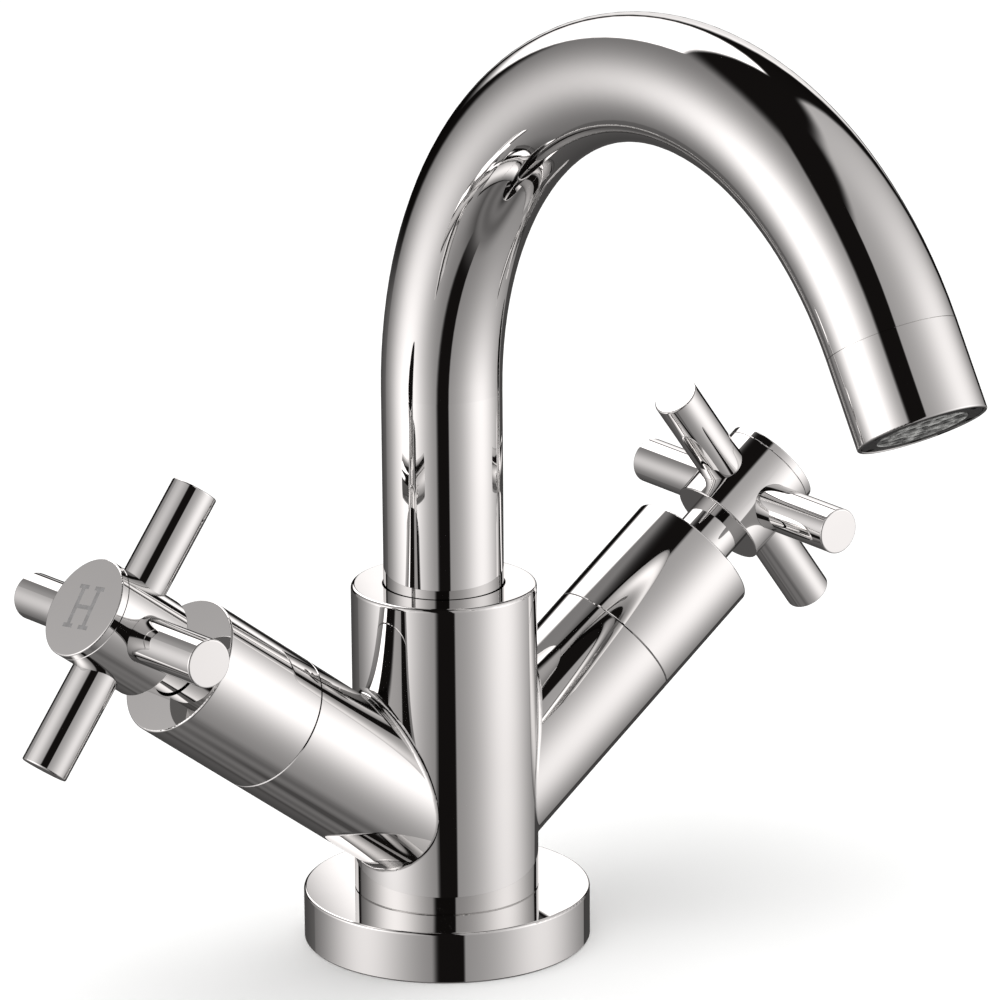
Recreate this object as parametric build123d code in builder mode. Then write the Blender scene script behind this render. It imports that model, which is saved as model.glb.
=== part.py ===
from build123d import *

import os
from math import cos, radians, sin

# A deck-mounted basin mixer: one brass body with two inclined valve arms, a swivelling swan-neck
# spout and two quarter-turn cross handles.  Millimetres; +Z is up, the underside of the base
# flange is Z = 0, the spout points along -Y, the hot side is -X and the cold side is +X.

# Base and body
FLANGE_R, FLANGE_H = 26.5, 9.7
BODY_R, BODY_TOP = 17.0, 68.0
FOOT_R, FOOT_Z = 14.5, 1.0  # spigot of the body that passes down through the flange
SEAL_IN_R, SEAL_OUT_R, SEAL_H = 18.5, 23.5, 2.2

# Inlets and fixing in the foot
INLET_X, INLET_Y = 7.2, 4.5
INLET_R, INLET_DEPTH = 4.5, 12.0  # M10 x 1 tapping size
STUD_Y, STUD_R, STUD_DEPTH = -9.0, 3.4, 14.0  # M8 tapping size
PASSAGE_R, PASSAGE_TOP = 3.5, 27.0

# Valve arms: distances S run along the arm axis from the point where it crosses the body axis
ARM_TILT, ARM_Z = 37.0, 20.0
ARM_R, ARM_END = 12.9, 48.5
BONNET_END, BONNET_BORE_R, BONNET_WALL = 72.0, 11.3, 1.6
SEAT_S, SEAT_PASSAGE_R, SEAT_PASSAGE_S = 25.0, 3.2, 9.0
CHAMBER_R, THREAD_S, THREAD_R = 8.6, 36.0, 9.8
GASKET_R, GASKET_S = 10.6, 47.7

# Mixing chamber and spout socket, on the body axis
MIX_R, MIX_FLOOR, MIX_TOP = 7.5, 38.0, 46.0
MIX_PORT_Z, MIX_PORT_R, MIX_PORT_REACH = 42.5, 3.0, 17.5
SOCKET_R, SOCKET_TOP = 9.0, 64.0
COLLAR_R = 11.3

# Spout
TUBE_R, TUBE_BORE_R = 11.0, 10.0
TUBE_FOOT = 65.1
SPOUT_RISE, BEND_R, BEND = 104.5, 67.5, 149.0
NIPPLE_R, NIPPLE_FOOT, NIPPLE_HEAD, NIPPLE_BORE_R = 8.95, 46.5, 76.0, 6.5
O_RING_HEIGHTS, O_RING_GROOVE_R, O_RING_R = (50.3, 56.0), 7.3, 0.78
LOCK_Z, LOCK_TIP_R, LOCK_TIP_Y, LOCK_R = 61.5, 1.5, 7.7, 2.1
LOCK_GROOVE_R, LOCK_GROOVE_HALF_H = 7.5, 1.6
LOCK_SHANK_Y, LOCK_END_Y, LOCK_KEY_Y, LOCK_KEY_R = 9.9, 15.8, 13.4, 1.25
SWIVEL = 60.0  # each way from straight ahead
LOCK_HALF_ANGLE = 11.6  # half the angle that the lock screw's tip takes up in its groove

# Outlet and aerator: distances S run from the end of the bend towards the mouth
OUTLET_L, OUTLET_BORE_R, LEDGE_S = 15.5, 10.3, 5.0
SPIGOT_R, SPIGOT_L, SPIGOT_BORE_R = 9.75, 4.0, 8.6
WASHER_BORE_R = 7.4
HOUSING_R, HOUSING_BORE_R, HOUSING_FOOT, HOUSING_END = 10.2, 8.7, 6.2, 15.3
LIP_R, LIP_S = 7.8, 14.0
KEY_NOTCH_S, KEY_NOTCH_R, KEY_NOTCH_L, KEY_NOTCH_W = 14.5, 9.8, 1.4, 1.8
PLATE_R, JET_PLATE_S, JET_PLATE_T, JET_R = 8.6, 6.4, 2.6, 0.6
SCREENS, SCREEN_T = (9.2, 9.7), 0.3
STRAIGHTENER_S, NOSE_S, NOSE_R, NOSE_END = 10.1, 13.9, 7.7, 15.4
CELL_R, CELL_PITCH = 0.8, 2.15

# Cartridge and spindle
GUIDE_R, GUIDE_END, GUIDE_BORE_R = 7.0, 63.0, 5.06
SLEEVE_R, SLEEVE_BORE_R, SLEEVE_FOOT = 8.0, 7.15, 25.4
CARTRIDGE_R, CARTRIDGE_COLLAR_R, CARTRIDGE_COLLAR_END = 9.75, 11.2, 52.0
HEX_FLAT, HEX_END = 19.0, 56.5
DISC_R, FIXED_DISC_S, DISC_FACE_S, DISC_GAP, MOVING_DISC_END = 6.9, 27.5, 30.5, 0.05, 33.6
SPINDLE_R, SPINDLE_END, SPLINE_R, SPLINE_TEETH = 5.0, 83.0, 3.9, 20
SPINDLE_RINGS, SPINDLE_RING_R, SPINDLE_GROOVE_R = (40.0, 44.0), 0.5, 3.9
STOP_WALL_R, STOP_WALL_END = 5.75, 66.2
LUG_R, LUG_W, LUG_CLOSED, LUG_HALF_ANGLE = 6.9, 3.4, 225.0, 17.7
QUARTER_TURN = 90.0
WINDOW_S, WINDOW_L, WINDOW_W = 32.6, 3.6, 7.0
BONNET_RING_S, BONNET_RING_R, BONNET_GROOVE_DEPTH, BONNET_GROOVE_HALF_L = 50.25, 0.55, 1.1, 0.85
DISC_PORT_R, TONGUE_L, TONGUE_W, TONGUE_DEPTH = 1.8, 10.0, 3.0, 1.2
SPINDLE_FLANGE_R, LUG_S, LUG_T, SPLINE_S = 6.8, 64.2, 1.6, 66.0
CLIP_S, CLIP_HALF_T, CLIP_GROOVE_R, CLIP_R, CLIP_ARC = 63.5, 0.4, 4.3, 5.65, 300.0
SCREW_HOLE_R, SCREW_HOLE_L = 2.0, 11.0

# Handle
STEM_R, STEM_FOOT, STEM_BORE_R, STEM_HEX = 5.6, 66.8, 3.97, 9.6
HUB_R, HUB_FOOT, HUB_FACE, CAP_T = 9.4, 79.5, 96.0, 1.6
HUB_SOCKET_END, HUB_POCKET_R, HUB_POCKET_S = 84.2, 4.0, 88.0
SPOKE_R, SPOKE_REACH, SPOKE_S, SPOKE_ROOT = 4.3, 28.0, 87.0, 7.4
TAIL_R, TAIL_ROOT = 2.45, 5.7
HANDLE_CLOCK = 1.8  # closed handles stop this many degrees short of square
UNDERSIDE = -90.0  # turn that brings a seat's X axis under the arm, where a seam line stays hidden
CAP_SKIRT_S, CAP_SKIRT_T = 91.5, 0.95
SCREW_R, SCREW_FOOT, SCREW_CLEARANCE_R = 1.9, 74.0, 2.15
SCREW_HEAD_R, SCREW_HEAD_END, SCREW_KEY_R, SCREW_KEY_S = 3.6, 90.8, 1.5, 88.8
MARK_DEPTH, MARK_SINK, MARK_H, MARK_STEM_W, SERIF_T = 0.25, 0.02, 8.2, 1.0, 0.75
MARK_TURN = 6.7  # the caps snap in at any turn, and these sit a little anticlockwise

HOT, COLD = -1, 1
NAMES = {HOT: "hot", COLD: "cold"}


def turned(seat, turn):
    """The same plane turned about its own Z by an angle in degrees."""
    x_dir = seat.x_dir.rotate(axis_of(seat), turn)
    return Plane(seat.origin, x_dir=x_dir, z_dir=seat.z_dir)


def arm_seat(side, turn=0.0):
    """Plane on the body axis whose Z runs out along one valve arm, turned about that Z."""
    tilt = radians(ARM_TILT)
    seat = Plane((0, 0, ARM_Z), x_dir=(0, side, 0), z_dir=(side * cos(tilt), 0, sin(tilt)))
    return turned(seat, turn)


def outlet_seat():
    """Plane at the end of the spout's bend whose Z runs out of the mouth."""
    bend = radians(BEND)
    end = (0, BEND_R * (cos(bend) - 1), SPOUT_RISE + BEND_R * sin(bend))
    return Plane(end, x_dir=(1, 0, 0), z_dir=(0, -sin(bend), cos(bend)))


def half_section(seat, corners):
    """Half section of a turned shape: corners are (radius, height) about the seat's Z axis."""
    with BuildSketch(Plane(seat.origin, x_dir=seat.x_dir, z_dir=-seat.y_dir)) as section:
        with BuildLine():
            Polyline(*corners, close=True)
        make_face()
    return section.sketch


def band(inner, outer, low, high):
    """Corners of a plain ring's half section."""
    return [(inner, low), (outer, low), (outer, high), (inner, high)]


def axis_of(seat):
    return Axis(seat.origin, seat.z_dir)


def rims(piece, radius):
    """The circular edges of a piece that have one radius."""
    circles = piece.edges().filter_by(GeomType.CIRCLE)
    return circles.filter_by(lambda edge: abs(edge.radius - radius) < 1e-4)


# --- Base -----------------------------------------------------------------------------------------


def make_base_flange():
    with BuildPart() as base_flange:
        with BuildSketch():
            Circle(FLANGE_R)
            Circle(FOOT_R + 0.05, mode=Mode.SUBTRACT)
        extrude(amount=FLANGE_H)
        with BuildSketch():
            Circle(SEAL_OUT_R + 0.1)
            Circle(SEAL_IN_R - 0.1, mode=Mode.SUBTRACT)
        extrude(amount=SEAL_H, mode=Mode.SUBTRACT)
        outer = rims(base_flange, FLANGE_R).sort_by(Axis.Z)
        fillet(outer[-1], radius=0.5)
        chamfer(outer[0], length=0.3)
    return base_flange


def make_deck_seal():
    with BuildPart() as deck_seal:
        with BuildSketch():
            Circle(SEAL_OUT_R)
            Circle(SEAL_IN_R, mode=Mode.SUBTRACT)
        extrude(amount=SEAL_H)
    return deck_seal


def make_body():
    """Cast body: column, two arms, waterways, valve pockets and the spout's socket."""
    with BuildPart() as body:
        with BuildSketch(Plane.XY.offset(FOOT_Z)):
            Circle(FOOT_R)
        extrude(amount=FLANGE_H - FOOT_Z)
        with BuildSketch(Plane.XY.offset(FLANGE_H)):
            Circle(BODY_R)
        extrude(amount=BODY_TOP - FLANGE_H)
        column_rims = rims(body, BODY_R).sort_by(Axis.Z)
        fillet(column_rims[-1], radius=0.7)
        chamfer(column_rims[0], length=0.2)
        for side in NAMES:
            with BuildSketch(arm_seat(side, UNDERSIDE)):
                Circle(ARM_R)
            extrude(amount=ARM_END)
        roots = body.edges().filter_by(
            lambda edge: edge.geom_type not in (GeomType.CIRCLE, GeomType.LINE)
        )
        fillet(roots, radius=1.0)
        chamfer(rims(body, ARM_R), length=0.15)

        # Spout socket with its mixing chamber below
        for radius, low, high in (
            (MIX_R, MIX_FLOOR, MIX_TOP),
            (SOCKET_R, MIX_TOP, SOCKET_TOP),
            (COLLAR_R, SOCKET_TOP, BODY_TOP),
        ):
            with BuildSketch(Plane.XY.offset(low)):
                Circle(radius)
            extrude(amount=high - low, mode=Mode.SUBTRACT)
        with BuildSketch(Plane.YZ):
            with Locations((0, MIX_PORT_Z)):
                Circle(MIX_PORT_R)
        extrude(amount=MIX_PORT_REACH, both=True, mode=Mode.SUBTRACT)

        # Valve pocket and the drilling that feeds its seat, in each arm
        pocket = [
            (0, SEAT_PASSAGE_S),
            (SEAT_PASSAGE_R, SEAT_PASSAGE_S),
            (SEAT_PASSAGE_R, SEAT_S),
            (CHAMBER_R, SEAT_S),
            (CHAMBER_R, THREAD_S),
            (THREAD_R, THREAD_S),
            (THREAD_R, GASKET_S),
            (GASKET_R, GASKET_S),
            (GASKET_R, ARM_END + 1),
            (0, ARM_END + 1),
        ]
        for side in NAMES:
            seat = arm_seat(side)
            revolve(half_section(seat, pocket), axis=axis_of(seat), mode=Mode.SUBTRACT)

        # Hose inlets, fixing stud hole and the lock screw's hole
        for radius, top in ((INLET_R, FOOT_Z + INLET_DEPTH), (PASSAGE_R, PASSAGE_TOP)):
            with BuildSketch(Plane.XY.offset(FOOT_Z)):
                with Locations((-INLET_X, INLET_Y), (INLET_X, INLET_Y)):
                    Circle(radius)
            extrude(amount=top - FOOT_Z, mode=Mode.SUBTRACT)
        with BuildSketch(Plane.XY.offset(FOOT_Z)):
            with Locations((0, STUD_Y)):
                Circle(STUD_R)
        extrude(amount=STUD_DEPTH, mode=Mode.SUBTRACT)
        with BuildSketch(lock_seat()):
            Circle(LOCK_R + 0.02)
        extrude(amount=BODY_R + 1, mode=Mode.SUBTRACT)
    return body


# --- Spout ----------------------------------------------------------------------------------------


def lock_seat():
    """Plane on the body axis whose Z runs out of the back of the body, along the lock screw."""
    return Plane((0, 0, LOCK_Z), x_dir=(1, 0, 0), z_dir=(0, 1, 0))


def make_spout_lock_screw():
    corners = [
        (0, LOCK_TIP_Y),
        (LOCK_TIP_R, LOCK_TIP_Y),
        (LOCK_TIP_R, LOCK_SHANK_Y - 0.5),
        (LOCK_R, LOCK_SHANK_Y),
        (LOCK_R, LOCK_END_Y),
        (0, LOCK_END_Y),
    ]
    with BuildPart() as spout_lock_screw:
        revolve(half_section(lock_seat(), corners), axis=axis_of(lock_seat()))
        with BuildSketch(lock_seat().offset(LOCK_KEY_Y)):
            RegularPolygon(radius=LOCK_KEY_R, side_count=6, major_radius=False)
        extrude(amount=3, mode=Mode.SUBTRACT)
    return spout_lock_screw


def make_spout_glide_ring():
    with BuildPart() as spout_glide_ring:
        with BuildSketch(Plane.XY.offset(SOCKET_TOP)):
            Circle(COLLAR_R - 0.15)
            Circle(SOCKET_R + 0.15, mode=Mode.SUBTRACT)
        extrude(amount=1.0)
    return spout_glide_ring


def make_spout_nipple():
    """Turned nipple brazed into the tube: it carries the O-rings and the swivel-stop groove."""
    corners = [
        (NIPPLE_BORE_R, NIPPLE_FOOT),
        (NIPPLE_R - 0.6, NIPPLE_FOOT),
        (NIPPLE_R, NIPPLE_FOOT + 0.6),
        (NIPPLE_R, TUBE_FOOT),
        (TUBE_BORE_R, TUBE_FOOT),
        (TUBE_BORE_R, NIPPLE_HEAD),
        (NIPPLE_BORE_R, NIPPLE_HEAD),
    ]
    groove_arc = 2 * (SWIVEL + LOCK_HALF_ANGLE)
    groove_seat = turned(Plane.XY, 90 - groove_arc / 2)
    groove = band(
        LOCK_GROOVE_R, NIPPLE_R + 1, LOCK_Z - LOCK_GROOVE_HALF_H, LOCK_Z + LOCK_GROOVE_HALF_H
    )
    with BuildPart() as spout_nipple:
        revolve(half_section(Plane.XY, corners), axis=Axis.Z)
        for height in O_RING_HEIGHTS:
            ring_groove = band(O_RING_GROOVE_R, NIPPLE_R + 1, height - 0.95, height + 0.95)
            revolve(half_section(Plane.XY, ring_groove), axis=Axis.Z, mode=Mode.SUBTRACT)
        revolve(
            half_section(groove_seat, groove),
            axis=Axis.Z,
            revolution_arc=groove_arc,
            mode=Mode.SUBTRACT,
        )
    return spout_nipple


def make_spout_o_rings():
    with BuildPart() as spout_o_rings:
        with Locations(*[(0, 0, height) for height in O_RING_HEIGHTS]):
            Torus(O_RING_GROOVE_R + O_RING_R + 0.04, O_RING_R)
    return spout_o_rings


def make_spout_tube():
    with BuildPart() as spout_tube:
        with BuildLine(Plane.YZ) as path:
            riser = Line((0, TUBE_FOOT), (0, SPOUT_RISE))
            CenterArc((-BEND_R, SPOUT_RISE), BEND_R, start_angle=0, arc_size=BEND)
        with BuildSketch(Plane(riser @ 0, x_dir=(1, 0, 0), z_dir=(0, 0, 1))):
            Circle(TUBE_R)
            Circle(TUBE_BORE_R, mode=Mode.SUBTRACT)
        sweep(path=path.wires()[0])
    return spout_tube


def make_outlet_sleeve():
    """Sleeve that closes the tube's end and holds the aerator."""
    seat = outlet_seat()
    corners = [
        (SPIGOT_BORE_R, -SPIGOT_L),
        (SPIGOT_R, -SPIGOT_L),
        (SPIGOT_R, 0),
        (TUBE_R, 0),
        (TUBE_R, OUTLET_L),
        (OUTLET_BORE_R, OUTLET_L),
        (OUTLET_BORE_R, LEDGE_S),
        (SPIGOT_BORE_R, LEDGE_S),
    ]
    with BuildPart() as outlet_sleeve:
        revolve(half_section(seat, corners), axis=axis_of(seat))
        rear, front = rims(outlet_sleeve, TUBE_R).sort_by(axis_of(seat))
        chamfer(rear, length=0.12)
        fillet(front, radius=0.3)
        chamfer(rims(outlet_sleeve, OUTLET_BORE_R).sort_by(axis_of(seat))[-1], length=0.15)
    return outlet_sleeve


def make_aerator_washer():
    seat = outlet_seat()
    corners = band(WASHER_BORE_R, HOUSING_R, LEDGE_S, HOUSING_FOOT)
    with BuildPart() as aerator_washer:
        revolve(half_section(seat, corners), axis=axis_of(seat))
    return aerator_washer


def make_aerator_housing():
    """Key-fitted aerator shell, flush with the mouth, with six key notches in its rim."""
    seat = outlet_seat()
    corners = [
        (HOUSING_BORE_R, HOUSING_FOOT),
        (HOUSING_R, HOUSING_FOOT),
        (HOUSING_R, HOUSING_END),
        (LIP_R, HOUSING_END),
        (LIP_R, LIP_S),
        (HOUSING_BORE_R, LIP_S),
    ]
    with BuildPart() as aerator_housing:
        revolve(half_section(seat, corners), axis=axis_of(seat))
        with BuildSketch(seat.offset(KEY_NOTCH_S)):
            with PolarLocations(KEY_NOTCH_R, 6):
                Rectangle(KEY_NOTCH_L, KEY_NOTCH_W)
        extrude(amount=2, mode=Mode.SUBTRACT)
    return aerator_housing


def make_aerator_insert():
    """Jet plate that splits the water before the screens."""
    with BuildPart() as aerator_insert:
        with BuildSketch(outlet_seat().offset(JET_PLATE_S)):
            Circle(PLATE_R)
            with PolarLocations(5.6, 12):
                Circle(JET_R, mode=Mode.SUBTRACT)
            with PolarLocations(3.0, 6):
                Circle(JET_R, mode=Mode.SUBTRACT)
        extrude(amount=JET_PLATE_T)
    return aerator_insert


def make_aerator_screens():
    with BuildPart() as aerator_screens:
        for screen in SCREENS:
            with BuildSketch(outlet_seat().offset(screen)):
                Circle(PLATE_R)
            extrude(amount=SCREEN_T)
    return aerator_screens


def make_flow_straightener():
    """Honeycomb that the water leaves through: its nose stands in the housing's lip."""
    seat = outlet_seat()
    with BuildPart() as flow_straightener:
        for radius, low, high in (
            (PLATE_R, STRAIGHTENER_S, NOSE_S),
            (NOSE_R, NOSE_S, NOSE_END),
        ):
            with BuildSketch(seat.offset(low)):
                Circle(radius)
            extrude(amount=high - low)
        with BuildSketch(seat.offset(STRAIGHTENER_S)):
            RegularPolygon(CELL_R, 6, major_radius=False)
            for ring in (1, 2, 3):
                with PolarLocations(CELL_PITCH * ring, 6 * ring):
                    RegularPolygon(CELL_R, 6, major_radius=False)
        extrude(amount=OUTLET_L, mode=Mode.SUBTRACT)
    return flow_straightener


# --- Valves ---------------------------------------------------------------------------------------


def make_seat_seal(side):
    seat = arm_seat(side)
    with BuildPart() as seat_seal:
        revolve(half_section(seat, band(4.2, 6.4, SEAT_S, FIXED_DISC_S)), axis=axis_of(seat))
    return seat_seal


def disc_ports(side, low, high, first, arc, outer):
    """Two opposite sector cuts through a valve disc, started at the angle given."""
    for turn in (first, first + 180):
        seat = arm_seat(side, turn)
        revolve(
            half_section(seat, band(DISC_PORT_R, outer, low, high)),
            axis=axis_of(seat),
            revolution_arc=arc,
            mode=Mode.SUBTRACT,
        )


def make_fixed_disc(side):
    with BuildPart() as fixed_disc:
        with BuildSketch(arm_seat(side).offset(FIXED_DISC_S)):
            Circle(DISC_R)
        extrude(amount=DISC_FACE_S - FIXED_DISC_S)
        disc_ports(side, FIXED_DISC_S - 1, DISC_FACE_S + 1, first=5, arc=80, outer=5.6)
    return fixed_disc


def make_moving_disc(side):
    foot = DISC_FACE_S + DISC_GAP
    with BuildPart() as moving_disc:
        with BuildSketch(arm_seat(side).offset(foot)):
            Circle(DISC_R)
        extrude(amount=MOVING_DISC_END - foot)
        disc_ports(side, foot - 1, MOVING_DISC_END + 1, first=93, arc=84, outer=DISC_R + 1)
        with BuildSketch(arm_seat(side, 45).offset(MOVING_DISC_END - TONGUE_DEPTH - 0.1)):
            Rectangle(TONGUE_L + 0.3, TONGUE_W + 0.2)
        extrude(amount=2, mode=Mode.SUBTRACT)
    return moving_disc


def make_cartridge_body(side):
    """Brass headwork: ported sleeve, screwed body, hexagon, guide and the stop wall."""
    seat = arm_seat(side)
    outside = [
        (0, SLEEVE_FOOT),
        (SLEEVE_R, SLEEVE_FOOT),
        (SLEEVE_R, THREAD_S + 0.4),
        (CARTRIDGE_R, THREAD_S + 0.4),
        (CARTRIDGE_R, ARM_END),
        (CARTRIDGE_COLLAR_R, ARM_END),
        (CARTRIDGE_COLLAR_R, CARTRIDGE_COLLAR_END),
        (GUIDE_R, CARTRIDGE_COLLAR_END),
        (GUIDE_R, GUIDE_END),
        (0, GUIDE_END),
    ]
    inside = [
        (0, SLEEVE_FOOT - 1),
        (SLEEVE_BORE_R, SLEEVE_FOOT - 1),
        (SLEEVE_BORE_R, THREAD_S),
        (GUIDE_BORE_R, THREAD_S),
        (GUIDE_BORE_R, GUIDE_END + 1),
        (0, GUIDE_END + 1),
    ]
    wall_start = LUG_CLOSED + QUARTER_TURN + LUG_HALF_ANGLE
    wall_seat = arm_seat(side, wall_start)
    with BuildPart() as cartridge_body:
        revolve(half_section(seat, outside), axis=axis_of(seat))
        with BuildSketch(seat.offset(CARTRIDGE_COLLAR_END)):
            RegularPolygon(radius=HEX_FLAT / 2, side_count=6, major_radius=False)
        extrude(amount=HEX_END - CARTRIDGE_COLLAR_END)
        revolve(half_section(seat, inside), axis=axis_of(seat), mode=Mode.SUBTRACT)
        window = seat.origin + seat.z_dir * WINDOW_S
        with BuildSketch(Plane(window, x_dir=seat.z_dir, z_dir=seat.y_dir)):
            Rectangle(WINDOW_L, WINDOW_W)
        extrude(amount=CHAMBER_R, both=True, mode=Mode.SUBTRACT)
        groove = band(
            CARTRIDGE_COLLAR_R - BONNET_GROOVE_DEPTH,
            CARTRIDGE_COLLAR_R + 1,
            BONNET_RING_S - BONNET_GROOVE_HALF_L,
            BONNET_RING_S + BONNET_GROOVE_HALF_L,
        )
        revolve(half_section(seat, groove), axis=axis_of(seat), mode=Mode.SUBTRACT)
        revolve(
            half_section(wall_seat, band(STOP_WALL_R, GUIDE_R, GUIDE_END, STOP_WALL_END)),
            axis=axis_of(seat),
            revolution_arc=360 - QUARTER_TURN - 2 * LUG_HALF_ANGLE,
        )
    return cartridge_body


def make_cartridge_gasket(side):
    seat = arm_seat(side)
    corners = band(CARTRIDGE_R + 0.05, GASKET_R - 0.05, GASKET_S, ARM_END)
    with BuildPart() as cartridge_gasket:
        revolve(half_section(seat, corners), axis=axis_of(seat))
    return cartridge_gasket


def make_spindle(side):
    """Spindle: driving tongue, flange, two ring grooves, clip groove, stop lug and spline."""
    seat = arm_seat(side)
    flange_foot, flange_end = MOVING_DISC_END + 0.05, THREAD_S - 0.1
    corners = [(0, flange_foot), (SPINDLE_FLANGE_R, flange_foot), (SPINDLE_FLANGE_R, flange_end)]
    corners += [(SPINDLE_R, flange_end)]
    for ring in SPINDLE_RINGS:
        corners += [(SPINDLE_R, ring - 0.75), (SPINDLE_GROOVE_R, ring - 0.75)]
        corners += [(SPINDLE_GROOVE_R, ring + 0.75), (SPINDLE_R, ring + 0.75)]
    clip_foot, clip_end = CLIP_S - CLIP_HALF_T - 0.05, CLIP_S + CLIP_HALF_T + 0.05
    corners += [(SPINDLE_R, clip_foot), (CLIP_GROOVE_R, clip_foot)]
    corners += [(CLIP_GROOVE_R, clip_end), (SPINDLE_R, clip_end)]
    corners += [(SPINDLE_R, SPLINE_S), (SPLINE_R, SPLINE_S)]
    corners += [(SPLINE_R, SPINDLE_END), (0, SPINDLE_END)]
    with BuildPart() as spindle:
        revolve(half_section(seat, corners), axis=axis_of(seat))
        with BuildSketch(arm_seat(side, 45).offset(MOVING_DISC_END - TONGUE_DEPTH)):
            Rectangle(TONGUE_L, TONGUE_W)
        extrude(amount=TONGUE_DEPTH + 0.3)
        with BuildSketch(arm_seat(side, LUG_CLOSED).offset(LUG_S)):
            with Locations((LUG_R / 2, 0)):
                Rectangle(LUG_R, LUG_W)
        extrude(amount=LUG_T)
        with BuildSketch(seat.offset(SPLINE_S + 0.5)):
            with PolarLocations(SPLINE_R + 0.1, SPLINE_TEETH):
                Circle(0.3)
        extrude(amount=SPINDLE_END, mode=Mode.SUBTRACT)
        with BuildSketch(seat.offset(SPINDLE_END - SCREW_HOLE_L)):
            Circle(SCREW_HOLE_R)
        extrude(amount=SCREW_HOLE_L + 1, mode=Mode.SUBTRACT)
    return spindle


def make_spindle_o_rings(side):
    seat = arm_seat(side)
    with BuildPart() as spindle_o_rings:
        for ring in SPINDLE_RINGS:
            with BuildSketch(Plane(seat.origin, x_dir=seat.x_dir, z_dir=-seat.y_dir)) as section:
                with Locations((SPINDLE_GROOVE_R + SPINDLE_RING_R + 0.02, ring)):
                    Circle(SPINDLE_RING_R)
            revolve(section.sketch, axis=axis_of(seat))
    return spindle_o_rings


def make_spindle_clip(side):
    seat = arm_seat(side, 30)
    ring = band(CLIP_GROOVE_R + 0.05, CLIP_R, CLIP_S - CLIP_HALF_T, CLIP_S + CLIP_HALF_T)
    with BuildPart() as spindle_clip:
        revolve(half_section(seat, ring), axis_of(seat), revolution_arc=CLIP_ARC)
    return spindle_clip


def make_bonnet(side):
    """Plated sleeve that carries the arm's line on over the cartridge."""
    seat = arm_seat(side, UNDERSIDE)
    corners = [
        (BONNET_BORE_R, ARM_END + 0.05),
        (ARM_R, ARM_END + 0.05),
        (ARM_R, BONNET_END),
        (STEM_R + 0.4, BONNET_END),
        (STEM_R + 0.4, BONNET_END - BONNET_WALL),
        (BONNET_BORE_R, BONNET_END - BONNET_WALL),
    ]
    with BuildPart() as bonnet:
        revolve(half_section(seat, corners), axis=axis_of(seat))
        rear, front = rims(bonnet, ARM_R).sort_by(axis_of(seat))
        chamfer(rear, length=0.15)
        fillet(front, radius=0.35)
    return bonnet


def make_bonnet_o_ring(side):
    seat = arm_seat(side)
    with BuildPart() as bonnet_o_ring:
        with BuildSketch(Plane(seat.origin, x_dir=seat.x_dir, z_dir=-seat.y_dir)) as section:
            with Locations((CARTRIDGE_COLLAR_R - 0.5, BONNET_RING_S)):
                Circle(BONNET_RING_R)
        revolve(section.sketch, axis=axis_of(seat))
    return bonnet_o_ring


# --- Handles --------------------------------------------------------------------------------------


def make_stem_extension(side):
    """Plated stem between bonnet and hub: it slides on the spindle and its hexagon turns the hub."""
    seat = arm_seat(side, UNDERSIDE)
    with BuildPart() as stem_extension:
        with BuildSketch(seat.offset(STEM_FOOT)):
            Circle(STEM_R)
        extrude(amount=HUB_FOOT - STEM_FOOT)
        with BuildSketch(arm_seat(side, HANDLE_CLOCK).offset(HUB_FOOT)):
            RegularPolygon(radius=STEM_HEX / 2, side_count=6, major_radius=False)
        extrude(amount=HUB_SOCKET_END - HUB_FOOT - 0.2)
        with BuildSketch(seat.offset(STEM_FOOT)):
            Circle(STEM_BORE_R)
        extrude(amount=HUB_SOCKET_END, mode=Mode.SUBTRACT)
        chamfer(rims(stem_extension, STEM_R).sort_by(axis_of(seat))[0], length=0.3)
    return stem_extension


def spoke_seats(side):
    """Four planes on the handle's axis, a quarter turn apart, whose Z runs out along a spoke."""
    hub = arm_seat(side, HANDLE_CLOCK).offset(SPOKE_S)
    for turn in range(0, 360, 90):
        out = turned(hub, turn).x_dir
        yield Plane(hub.origin, x_dir=hub.z_dir, z_dir=out)


def make_handle_hub(side):
    seat = arm_seat(side, HANDLE_CLOCK)
    with BuildPart() as handle_hub:
        with BuildSketch(seat.offset(HUB_FOOT)):
            Circle(HUB_R)
        extrude(amount=HUB_FACE - CAP_T - HUB_FOOT)
        rear, front = rims(handle_hub, HUB_R).sort_by(axis_of(seat))
        fillet(rear, radius=0.3)
        chamfer(front, length=0.1)
        with BuildSketch(seat.offset(HUB_FOOT)):
            RegularPolygon(radius=STEM_HEX / 2 + 0.05, side_count=6, major_radius=False)
        extrude(amount=HUB_SOCKET_END - HUB_FOOT, mode=Mode.SUBTRACT)
        with BuildSketch(seat.offset(HUB_SOCKET_END)):
            Circle(SCREW_CLEARANCE_R)
        extrude(amount=HUB_R, mode=Mode.SUBTRACT)
        with BuildSketch(seat.offset(HUB_POCKET_S)):
            Circle(HUB_POCKET_R)
        extrude(amount=HUB_R, mode=Mode.SUBTRACT)
        for spoke in spoke_seats(side):
            with BuildSketch(spoke.offset(SPOKE_ROOT)):
                Circle(SPOKE_R + 0.02)
            extrude(amount=HUB_R, mode=Mode.SUBTRACT)
            with BuildSketch(spoke.offset(TAIL_ROOT - 0.1)):
                Circle(TAIL_R + 0.05)
            extrude(amount=HUB_R, mode=Mode.SUBTRACT)
    return handle_hub


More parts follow.
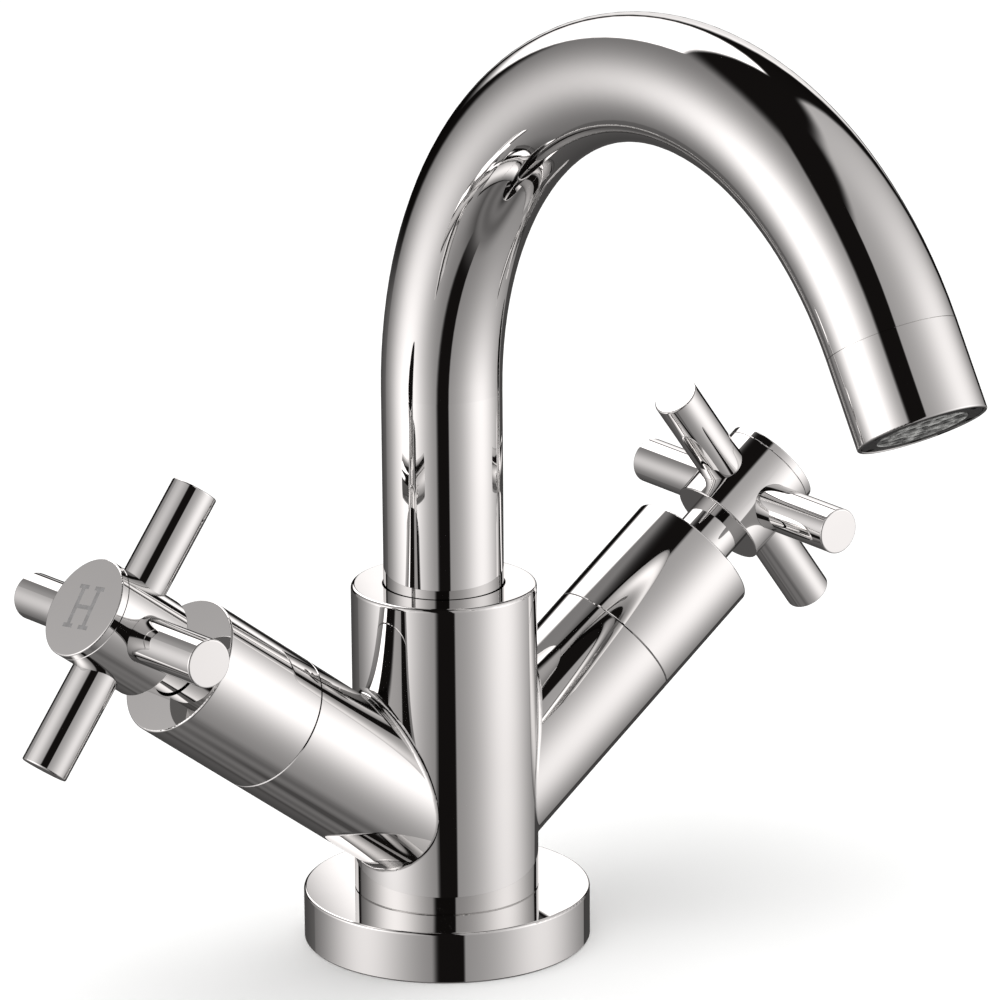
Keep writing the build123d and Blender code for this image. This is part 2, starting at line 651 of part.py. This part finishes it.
def make_handle_spokes(side):
    """Four turned spokes, each with a tail that screws into the hub."""
    corners = [
        (0, TAIL_ROOT),
        (TAIL_R, TAIL_ROOT),
        (TAIL_R, SPOKE_ROOT),
        (SPOKE_R, SPOKE_ROOT),
        (SPOKE_R, SPOKE_REACH),
        (0, SPOKE_REACH),
    ]
    with BuildPart() as handle_spokes:
        for spoke in spoke_seats(side):
            revolve(half_section(spoke, corners), axis=axis_of(spoke))
            tip = rims(handle_spokes, SPOKE_R).sort_by(axis_of(spoke))[-1]
            fillet(tip, radius=0.3)
    return handle_spokes


def make_handle_screw(side):
    seat = arm_seat(side)
    corners = [
        (0, SCREW_FOOT),
        (SCREW_R, SCREW_FOOT),
        (SCREW_R, HUB_POCKET_S),
        (SCREW_HEAD_R, HUB_POCKET_S),
        (SCREW_HEAD_R, SCREW_HEAD_END),
        (0, SCREW_HEAD_END),
    ]
    with BuildPart() as handle_screw:
        revolve(half_section(seat, corners), axis=axis_of(seat))
        with BuildSketch(seat.offset(SCREW_KEY_S)):
            RegularPolygon(radius=SCREW_KEY_R, side_count=6, major_radius=False)
        extrude(amount=3, mode=Mode.SUBTRACT)
    return handle_screw


def hot_mark():
    """Letter H with slab serifs."""
    with BuildSketch() as mark:
        with Locations((-2.2, 0), (2.2, 0)):
            Rectangle(MARK_STEM_W, MARK_H)
        with GridLocations(4.4, MARK_H - SERIF_T, 2, 2):
            Rectangle(2.6, SERIF_T)
        Rectangle(4.4, SERIF_T)
    return mark.sketch


def cold_mark():
    """Letter C with serifs."""
    with BuildSketch() as mark:
        Circle(MARK_H / 2)
        Circle(MARK_H / 2 - MARK_STEM_W, mode=Mode.SUBTRACT)
        with Locations((MARK_H / 2, 0)):
            Rectangle(4.0, 4.4, mode=Mode.SUBTRACT)
        with Locations((3.2, 2.5), (3.2, -2.5)):
            Rectangle(SERIF_T, 2.0)
    return mark.sketch


def mark_outline(side):
    return hot_mark() if side == HOT else cold_mark()


def mark_seat(side):
    """Floor of the engraving."""
    return turned(arm_seat(side, HANDLE_CLOCK), MARK_TURN).offset(HUB_FACE - MARK_DEPTH)


def make_index_cap(side):
    """Snap-in cap over the hub, engraved to tell hot from cold."""
    seat = arm_seat(side, HANDLE_CLOCK)
    with BuildPart() as index_cap:
        with BuildSketch(seat.offset(HUB_FACE - CAP_T)):
            Circle(HUB_R)
        extrude(amount=CAP_T)
        rear, front = rims(index_cap, HUB_R).sort_by(axis_of(seat))
        chamfer(rear, length=0.1)
        fillet(front, radius=0.25)
        with BuildSketch(seat.offset(CAP_SKIRT_S)):
            Circle(HUB_POCKET_R - 0.05)
            Circle(HUB_POCKET_R - 0.05 - CAP_SKIRT_T, mode=Mode.SUBTRACT)
        extrude(amount=HUB_FACE - CAP_T - CAP_SKIRT_S)
        with BuildSketch(mark_seat(side)):
            add(mark_outline(side))
        extrude(amount=1, mode=Mode.SUBTRACT)
    return index_cap


def make_index_mark(side):
    """Grey enamel that fills the cap's engraving to a hair below its face."""
    with BuildPart() as index_mark:
        with BuildSketch(mark_seat(side)):
            add(mark_outline(side))
        extrude(amount=MARK_DEPTH - MARK_SINK)
    return index_mark


# --- Writing --------------------------------------------------------------------------------------

SHARED = (
    make_base_flange,
    make_deck_seal,
    make_body,
    make_spout_lock_screw,
    make_spout_glide_ring,
    make_spout_nipple,
    make_spout_o_rings,
    make_spout_tube,
    make_outlet_sleeve,
    make_aerator_washer,
    make_aerator_housing,
    make_aerator_insert,
    make_aerator_screens,
    make_flow_straightener,
)
PER_SIDE = (
    make_seat_seal,
    make_fixed_disc,
    make_moving_disc,
    make_cartridge_body,
    make_cartridge_gasket,
    make_spindle,
    make_spindle_o_rings,
    make_spindle_clip,
    make_bonnet,
    make_bonnet_o_ring,
    make_stem_extension,
    make_handle_hub,
    make_handle_spokes,
    make_handle_screw,
    make_index_cap,
    make_index_mark,
)


def write(builder, name):
    builder.part.label = name
    export_step(builder.part, f"parts/{name}.step")
    print(name, len(builder.part.solids()), round(builder.part.volume, 1))


os.makedirs("parts", exist_ok=True)
for make in SHARED:
    write(make(), make.__name__.removeprefix("make_"))
for side, word in NAMES.items():
    for make in PER_SIDE:
        write(make(side), f"{word}_{make.__name__.removeprefix('make_')}")
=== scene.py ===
import math

import bmesh
import bpy
from mathutils import Matrix, Vector

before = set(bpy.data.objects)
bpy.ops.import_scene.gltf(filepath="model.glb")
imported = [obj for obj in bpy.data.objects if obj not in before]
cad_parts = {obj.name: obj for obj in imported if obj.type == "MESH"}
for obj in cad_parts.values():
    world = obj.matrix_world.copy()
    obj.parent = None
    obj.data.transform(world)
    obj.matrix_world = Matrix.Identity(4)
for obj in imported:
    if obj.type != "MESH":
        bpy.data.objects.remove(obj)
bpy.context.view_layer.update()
scene = bpy.context.scene

# --- Node helpers ---------------------------------------------------------------------------------


def feed(tree, socket, value):
    """Gives an input socket a number, a colour or another node's output."""
    if isinstance(value, bpy.types.NodeSocket):
        tree.links.new(value, socket)
    else:
        socket.default_value = value


def calc(tree, operation, first, second=0.0):
    """One step of arithmetic on numbers or outputs."""
    node = tree.nodes.new("ShaderNodeMath")
    node.operation = operation
    feed(tree, node.inputs[0], first)
    feed(tree, node.inputs[1], second)
    return node.outputs[0]


def ramp(tree, value, start, end):
    """0 at start and 1 at end, with a soft step between them."""
    node = tree.nodes.new("ShaderNodeMapRange")
    node.interpolation_type = "SMOOTHSTEP"
    feed(tree, node.inputs["Value"], value)
    node.inputs["From Min"].default_value = start
    node.inputs["From Max"].default_value = end
    return node.outputs["Result"]


# --- Studio light ---------------------------------------------------------------------------------
# Azimuth 0 is straight ahead of the tap, where the spout points, and +90 is to its right (+X).


def tent_angles(tree, centre):
    """Azimuth from one azimuth, and elevation, in degrees, of a point on the tent."""
    point = tree.nodes.new("ShaderNodeTexCoord").outputs["Object"]
    turned = tree.nodes.new("ShaderNodeVectorRotate")
    turned.rotation_type = "Z_AXIS"
    turned.inputs["Angle"].default_value = -math.radians(centre)
    tree.links.new(point, turned.inputs["Vector"])
    parts = tree.nodes.new("ShaderNodeSeparateXYZ")
    tree.links.new(turned.outputs[0], parts.inputs[0])
    ahead = calc(tree, "MULTIPLY", parts.outputs["Y"], -1.0)
    azimuth = calc(tree, "ARCTAN2", parts.outputs["X"], ahead)
    height = calc(tree, "DIVIDE", parts.outputs["Z"], TENT_RADIUS)
    return calc(tree, "DEGREES", azimuth), calc(tree, "DEGREES", calc(tree, "ARCSINE", height))


def bent(tree, offset, slope, bow, angle):
    """offset + slope * angle + bow * angle squared"""
    steps = calc(tree, "ADD", calc(tree, "MULTIPLY", angle, bow), slope)
    return calc(tree, "ADD", calc(tree, "MULTIPLY", steps, angle), offset)


def panel(tree, centre, left, right, low, high, level, glow=None, stripes=None):
    """One soft panel of the tent, as display brightness.

    left, right and high are (offset, slope, bow, softness) of an edge; low is (offset, softness).
    level is (brightness, change across, change along), glow is a round patch on it, and
    stripes is (depth, period, elevation of one crest).
    """
    azimuth, elevation = tent_angles(tree, centre)
    from_left = calc(tree, "SUBTRACT", azimuth, bent(tree, *left[:3], elevation))
    from_right = calc(tree, "SUBTRACT", bent(tree, *right[:3], elevation), azimuth)
    from_top = calc(tree, "SUBTRACT", bent(tree, *high[:3], azimuth), elevation)
    from_foot = calc(tree, "SUBTRACT", elevation, low[0])
    mask = 1.0
    for inside, softness in (
        (from_left, left[3]),
        (from_right, right[3]),
        (from_top, high[3]),
        (from_foot, low[1]),
    ):
        mask = calc(tree, "MULTIPLY", ramp(tree, inside, -softness, softness), mask)
    base, across, along = level
    light = calc(tree, "MULTIPLY", azimuth, across)
    light = calc(tree, "ADD", calc(tree, "MULTIPLY", elevation, along), light)
    light = calc(tree, "ADD", light, base)
    if glow:
        bright, glow_azimuth, glow_elevation, width, height = glow
        aside = calc(tree, "DIVIDE", calc(tree, "SUBTRACT", azimuth, glow_azimuth), width)
        above = calc(tree, "DIVIDE", calc(tree, "SUBTRACT", elevation, glow_elevation), height)
        spread = calc(tree, "ADD", calc(tree, "POWER", aside, 2.0), calc(tree, "POWER", above, 2.0))
        fade = calc(tree, "EXPONENT", calc(tree, "MULTIPLY", spread, -1.0))
        light = calc(tree, "ADD", light, calc(tree, "MULTIPLY", fade, bright))
    if stripes:
        depth, period, crest = stripes
        phase = calc(tree, "MULTIPLY", calc(tree, "SUBTRACT", elevation, crest), math.tau / period)
        light = calc(tree, "ADD", light, calc(tree, "MULTIPLY", calc(tree, "COSINE", phase), depth))
    return calc(tree, "MULTIPLY", mask, light)


LEFT_PANEL = dict(
    centre=-112, left=(-60, -0.1, -0.003, 5), right=(66, -0.2, -0.005, 4), low=(-70, 18),
    high=(69, 0, -0.002, 7), level=(0.43, 0, 0), glow=(0.76, 8, 2, 43, 39),
)
RIGHT_PANEL = dict(
    centre=38, left=(-62, -0.07, 0, 1.5), right=(69, -0.06, 0, 3), low=(-78, 16),
    high=(77, 0, -0.004, 6), level=(0.57, 0.0006, 0.001), glow=(0.5, 5, 2, 40, 42),
)
BACK_PANEL = dict(
    centre=158, left=(9, -0.8, 0, 2.5), right=(13, 0.5, 0, 2.5), low=(10, 6),
    high=(64, 0, -0.003, 2), level=(1.3, 0, 0),
)
BACK_PATCH = dict(
    centre=131, left=(-14, 0, 0, 3), right=(24, 0, 0, 4), low=(1, 6),
    high=(31, 0, -0.05, 4), level=(1.2, 0, 0),
)
REAR_BENCH = dict(
    centre=150, left=(-48, -0.2, 0, 6), right=(55, 0, 0, 3), low=(-70, 12),
    high=(-6, 0, 0, 4), level=(0.37, 0.0007, 0.0006),
)
# The bench is a full ring, so its side and lower edges lie out of reach.
BENCH = dict(
    centre=0, left=(-400, 0, 0, 1), right=(400, 0, 0, 1), low=(-200, 1),
    high=(-61, 0, 0, 11), level=(0.38, 0, 0), glow=(-0.17, 0, -90, 10000, 3.5),
    stripes=(0.03, 12, -81.5),
)
TENT_RADIUS, TENT_HEIGHT = 0.8, 0.09
DISPLAY_GAMMA, CHROME_LOSS = 2.2, 0.90
WORLD_LIGHT = 0.8
DARK = (0.0066, 0.0056, 0.0053, 1.0)
TINT = (1.035, 1.0, 0.99, 1.0)


def blend_colour(tree, mode, first, second):
    """Product or sum of two colours, each given as a colour or an output."""
    node = tree.nodes.new("ShaderNodeMix")
    node.data_type = "RGBA"
    node.blend_type = mode
    node.inputs["Factor"].default_value = 1.0
    feed(tree, node.inputs[6], first)
    feed(tree, node.inputs[7], second)
    return node.outputs[2]


def tent_material():
    material = bpy.data.materials.new("tent")
    material.use_nodes = True
    tree = material.node_tree
    tree.nodes.clear()
    total = 0.0
    for one in (LEFT_PANEL, RIGHT_PANEL, BACK_PANEL, BACK_PATCH, REAR_BENCH, BENCH):
        total = calc(tree, "MAXIMUM", total, panel(tree, **one))
    light = calc(tree, "DIVIDE", calc(tree, "POWER", total, DISPLAY_GAMMA), CHROME_LOSS)
    tinted = blend_colour(tree, "ADD", blend_colour(tree, "MULTIPLY", light, TINT), DARK)
    emission = tree.nodes.new("ShaderNodeEmission")
    output = tree.nodes.new("ShaderNodeOutputMaterial")
    tree.links.new(tinted, emission.inputs["Color"])
    tree.links.new(emission.outputs[0], output.inputs["Surface"])
    material.cycles.emission_sampling = "NONE"
    return material


# --- Camera ---------------------------------------------------------------------------------------

CAMERA_AZIMUTH, CAMERA_ELEVATION, CAMERA_ROLL = -35.85, 16.2, -0.43
CAMERA_DISTANCE = 0.98
CAMERA_AIM = (0.0107, -0.0029, 0.0824)
CAMERA_LENS, CAMERA_SENSOR = 193.5, 36.0
CAMERA_CLIP = 0.01, 100.0


def make_camera():
    azimuth, elevation = math.radians(CAMERA_AZIMUTH), math.radians(CAMERA_ELEVATION)
    ground = math.cos(elevation)
    back = Vector((math.sin(azimuth) * ground, -math.cos(azimuth) * ground, math.sin(elevation)))
    right = Vector((0, 0, 1)).cross(back).normalized()
    facing = Matrix((right, back.cross(right), back)).transposed()
    data = bpy.data.cameras.new("camera")
    data.lens, data.sensor_width = CAMERA_LENS, CAMERA_SENSOR
    data.clip_start, data.clip_end = CAMERA_CLIP
    camera = bpy.data.objects.new("camera", data)
    scene.collection.objects.link(camera)
    roll = Matrix.Rotation(math.radians(CAMERA_ROLL), 4, "Z")
    place = Matrix.Translation(Vector(CAMERA_AIM) + back * CAMERA_DISTANCE)
    camera.matrix_world = place @ facing.to_4x4() @ roll
    scene.camera = camera


make_camera()
scene.view_settings.view_transform = "Standard"

# --- Materials ------------------------------------------------------------------------------------
# Noise scales are in cells per metre, and bump heights in metres.

ARM_TILTS = (37.0, 143.0)
RING_WAVES = 18000.0  # radians per metre, which is a ring every 0.35 mm
WIRE_WAVES = math.tau / 0.0005  # a wire every 0.5 mm
CHROME_EDGE = (0.5, 0.5, 0.5, 1.0)
CHROME_COLOURS = (0.885, 0.88, 0.875), (0.915, 0.91, 0.905)
CHROME_GLOSS, CHROME_WAVE = (0.008, 0.032), 0.0000035


def new_material(name):
    material = bpy.data.materials.new(name)
    material.use_nodes = True
    tree = material.node_tree
    return material, tree, tree.nodes["Principled BSDF"]


def noise(tree, scale, detail=3.0):
    """Cloudy noise fixed to the object."""
    coordinates = tree.nodes.new("ShaderNodeTexCoord")
    node = tree.nodes.new("ShaderNodeTexNoise")
    node.inputs["Scale"].default_value = scale
    node.inputs["Detail"].default_value = detail
    tree.links.new(coordinates.outputs["Object"], node.inputs["Vector"])
    return node.outputs["Fac"]


def between(tree, value, low, high, start=0.3, end=0.7):
    """low where value is at start, high where it is at end."""
    node = tree.nodes.new("ShaderNodeMapRange")
    tree.links.new(value, node.inputs["Value"])
    node.inputs["From Min"].default_value = start
    node.inputs["From Max"].default_value = end
    node.inputs["To Min"].default_value = low
    node.inputs["To Max"].default_value = high
    return node.outputs["Result"]


def shade(tree, value, dark, light, start=0.3, end=0.7):
    """dark where value is at start, light where it is at end."""
    node = tree.nodes.new("ShaderNodeMix")
    node.data_type = "RGBA"
    tree.links.new(between(tree, value, 0.0, 1.0, start, end), node.inputs["Factor"])
    node.inputs[6].default_value = (*dark, 1.0)
    node.inputs[7].default_value = (*light, 1.0)
    return node.outputs[2]


def bump(tree, shader, height, distance):
    node = tree.nodes.new("ShaderNodeBump")
    node.inputs["Strength"].default_value = 1.0
    node.inputs["Distance"].default_value = distance
    tree.links.new(height, node.inputs["Height"])
    tree.links.new(node.outputs["Normal"], shader.inputs["Normal"])


def chrome():
    """Mirror chrome with the plating's faint waviness and a few dull smears."""
    material, tree, shader = new_material("chrome_plate")
    shader.inputs["Metallic"].default_value = 1.0
    shader.inputs["Specular Tint"].default_value = CHROME_EDGE
    plating = shade(tree, noise(tree, 35.0), *CHROME_COLOURS)
    tree.links.new(plating, shader.inputs["Base Color"])
    smears = calc(tree, "MULTIPLY", noise(tree, 60.0), noise(tree, 900.0))
    tree.links.new(between(tree, smears, *CHROME_GLOSS, 0.15, 0.4), shader.inputs["Roughness"])
    bump(tree, shader, noise(tree, 80.0, 1.0), CHROME_WAVE)
    return material


def simple(name, dark, light, roughness, scale=300.0, depth=0.00003):
    """Grainy non-metal finish: two close colours, uneven gloss and a fine bump."""
    material, tree, shader = new_material(name)
    grain = noise(tree, scale)
    tree.links.new(shade(tree, grain, dark, light), shader.inputs["Base Color"])
    gloss = between(tree, grain, roughness * 0.8, roughness * 1.2)
    tree.links.new(gloss, shader.inputs["Roughness"])
    bump(tree, shader, noise(tree, scale * 4), depth)
    return material


def turned_metal(name, dark, light, roughness):
    """Metal with the fine rings that a lathe leaves round the two arm axes."""
    material, tree, shader = new_material(name)
    shader.inputs["Metallic"].default_value = 1.0
    point = tree.nodes.new("ShaderNodeTexCoord").outputs["Object"]
    rings = 0.0
    for tilt in ARM_TILTS:
        along = tree.nodes.new("ShaderNodeVectorMath")
        along.operation = "DOT_PRODUCT"
        tree.links.new(point, along.inputs[0])
        angle = math.radians(tilt)
        along.inputs[1].default_value = (math.cos(angle), 0.0, math.sin(angle))
        phase = calc(tree, "MULTIPLY", along.outputs["Value"], RING_WAVES)
        rings = calc(tree, "ADD", rings, calc(tree, "SINE", phase))
    stain = noise(tree, 120.0)
    tree.links.new(shade(tree, stain, dark, light), shader.inputs["Base Color"])
    gloss = between(tree, stain, roughness * 0.8, roughness * 1.3)
    tree.links.new(gloss, shader.inputs["Roughness"])
    bump(tree, shader, rings, 0.000004)
    return material


def woven_steel():
    """Plain-woven wires: two crossed sets of waves in the screen's own plane, with painted shade in
    the openings between the wires.
    """
    material, tree, shader = new_material("screen_steel")
    shader.inputs["Metallic"].default_value = 1.0
    point = tree.nodes.new("ShaderNodeTexCoord").outputs["Object"]
    parts = tree.nodes.new("ShaderNodeSeparateXYZ")
    tree.links.new(point, parts.inputs[0])
    warp = calc(tree, "SINE", calc(tree, "MULTIPLY", parts.outputs["X"], WIRE_WAVES))
    weft = calc(tree, "SINE", calc(tree, "MULTIPLY", parts.outputs["Y"], WIRE_WAVES))
    weave = calc(tree, "MAXIMUM", warp, weft)
    # Painted shade: the openings between the wires get a near-black colour that stands in for the
    # shade inside the screen; the crests keep the steel's own colour.
    wire_and_gap_shade = shade(tree, weave, (0.05, 0.05, 0.05), (0.60, 0.59, 0.58))
    tree.links.new(wire_and_gap_shade, shader.inputs["Base Color"])
    tree.links.new(between(tree, noise(tree, 300.0), 0.25, 0.4), shader.inputs["Roughness"])
    bump(tree, shader, weave, 0.00008)
    return material


def scaled_plastic():
    """Moulded nozzle plastic with pale, dull patches of dried scale."""
    material, tree, shader = new_material("grey_acetal")
    patches = noise(tree, 420.0)
    scale_marks = shade(tree, patches, (0.12, 0.12, 0.118), (0.52, 0.52, 0.505), 0.42, 0.6)
    tree.links.new(scale_marks, shader.inputs["Base Color"])
    tree.links.new(between(tree, patches, 0.25, 0.6), shader.inputs["Roughness"])
    bump(tree, shader, noise(tree, 2500.0), 0.00004)
    return material


MATERIALS = {
    "chrome_plate": chrome(),
    "brass": turned_metal("brass", (0.60, 0.42, 0.16), (0.75, 0.55, 0.25), 0.25),
    "stainless_steel": turned_metal(
        "stainless_steel", (0.48, 0.47, 0.46), (0.60, 0.59, 0.58), 0.22
    ),
    "screen_steel": woven_steel(),
    "black_rubber": simple("black_rubber", (0.010, 0.010, 0.010), (0.03, 0.03, 0.03), 0.6),
    "black_acetal": simple("black_acetal", (0.010, 0.010, 0.010), (0.018, 0.018, 0.018), 0.4),
    "white_acetal": simple("white_acetal", (0.70, 0.70, 0.68), (0.80, 0.80, 0.78), 0.4),
    "grey_acetal": scaled_plastic(),
    "grey_enamel": simple(
        "grey_enamel", (0.19, 0.185, 0.185), (0.25, 0.245, 0.245), 0.4, scale=900.0, depth=0.00001
    ),
    "ceramic": simple(
        "ceramic", (0.80, 0.78, 0.74), (0.90, 0.88, 0.84), 0.15, scale=600.0, depth=0.000004
    ),
    "red_fibre": simple(
        "red_fibre", (0.35, 0.06, 0.04), (0.55, 0.12, 0.08), 0.8, scale=900.0, depth=0.00006
    ),
}

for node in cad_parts.values():
    for place in node.material_slots:
        place.material = MATERIALS[place.material.name.split(".")[0]]

# --- Stage ----------------------------------------------------------------------------------------
# Lengths are in metres, lamp power is in watts.

TENT_RINGS, TENT_STEPS = 64, 128
FLOOR_RINGS = (0.2, 1.0, 3.5)
COVE_R, COVE_STEPS, WALL_TOP, FLOOR_STEPS = 2.0, 12, 6.0, 96
LAMP_SIZE, LAMP_POWER, LAMP_PLACE = 2.4, 30.0, (-0.3, 0.1, 1.9)
PAPER_DARK, PAPER_LIGHT = (0.86, 0.86, 0.855), (0.88, 0.88, 0.875)


def lathe(name, profile, steps, closed=False):
    """A sheet turned about the vertical axis from (radius, height) corners, its start filled in."""
    mesh = bmesh.new()
    rings = []
    for radius, height in profile:
        ring = []
        for step in range(steps):
            angle = math.tau * step / steps
            corner = (radius * math.cos(angle), radius * math.sin(angle), height)
            ring.append(mesh.verts.new(corner))
        rings.append(ring)
    for inner, outer in zip(rings, rings[1:]):
        for step in range(steps):
            after = (step + 1) % steps
            mesh.faces.new((inner[step], outer[step], outer[after], inner[after]))
    mesh.faces.new(rings[0])
    if closed:
        mesh.faces.new(rings[-1])
    data = bpy.data.meshes.new(name)
    mesh.to_mesh(data)
    mesh.free()
    for face in data.polygons:
        face.use_smooth = True
    piece = bpy.data.objects.new(name, data)
    scene.collection.objects.link(piece)
    return piece


def make_tent():
    """The light tent: it only shows in reflections."""
    profile = []
    for step in range(1, TENT_RINGS):
        angle = math.pi * (step / TENT_RINGS - 0.5)
        profile.append((TENT_RADIUS * math.cos(angle), TENT_RADIUS * math.sin(angle)))
    tent = lathe("tent", profile, TENT_STEPS, closed=True)
    tent.location = (0, 0, TENT_HEIGHT)
    tent.data.materials.append(tent_material())
    tent.visible_camera = False
    tent.visible_diffuse = False
    tent.visible_shadow = False


def make_floor():
    """Round paper floor that curves up into a wall on all sides."""
    edge = FLOOR_RINGS[-1]
    profile = [(radius, 0.0) for radius in FLOOR_RINGS]
    for step in range(1, COVE_STEPS + 1):
        angle = math.radians(90 * step / COVE_STEPS)
        profile.append((edge + COVE_R * math.sin(angle), COVE_R * (1 - math.cos(angle))))
    profile.append((edge + COVE_R, WALL_TOP))
    floor = lathe("floor", profile, FLOOR_STEPS)
    material, tree, shader = new_material("floor_paper")
    paper = shade(tree, noise(tree, 6.0), PAPER_DARK, PAPER_LIGHT)
    tree.links.new(paper, shader.inputs["Base Color"])
    shader.inputs["Roughness"].default_value = 0.9
    shader.inputs["Specular IOR Level"].default_value = 0.1
    floor.data.materials.append(material)
    floor.visible_glossy = False
    floor.visible_diffuse = False
    floor.visible_transmission = False
    floor.visible_shadow = False


def make_lights():
    """One large soft lamp above, and plain white all round."""
    data = bpy.data.lights.new("overhead", "AREA")
    data.shape, data.size, data.energy = "DISK", LAMP_SIZE, LAMP_POWER
    lamp = bpy.data.objects.new("overhead", data)
    lamp.location = LAMP_PLACE
    lamp.visible_glossy = False
    scene.collection.objects.link(lamp)
    world = bpy.data.worlds.new("studio")
    world.use_nodes = True
    surround = world.node_tree.nodes["Background"]
    surround.inputs["Color"].default_value = (1.0, 1.0, 1.0, 1.0)
    surround.inputs["Strength"].default_value = WORLD_LIGHT
    scene.world = world


make_tent()
make_floor()
make_lights()
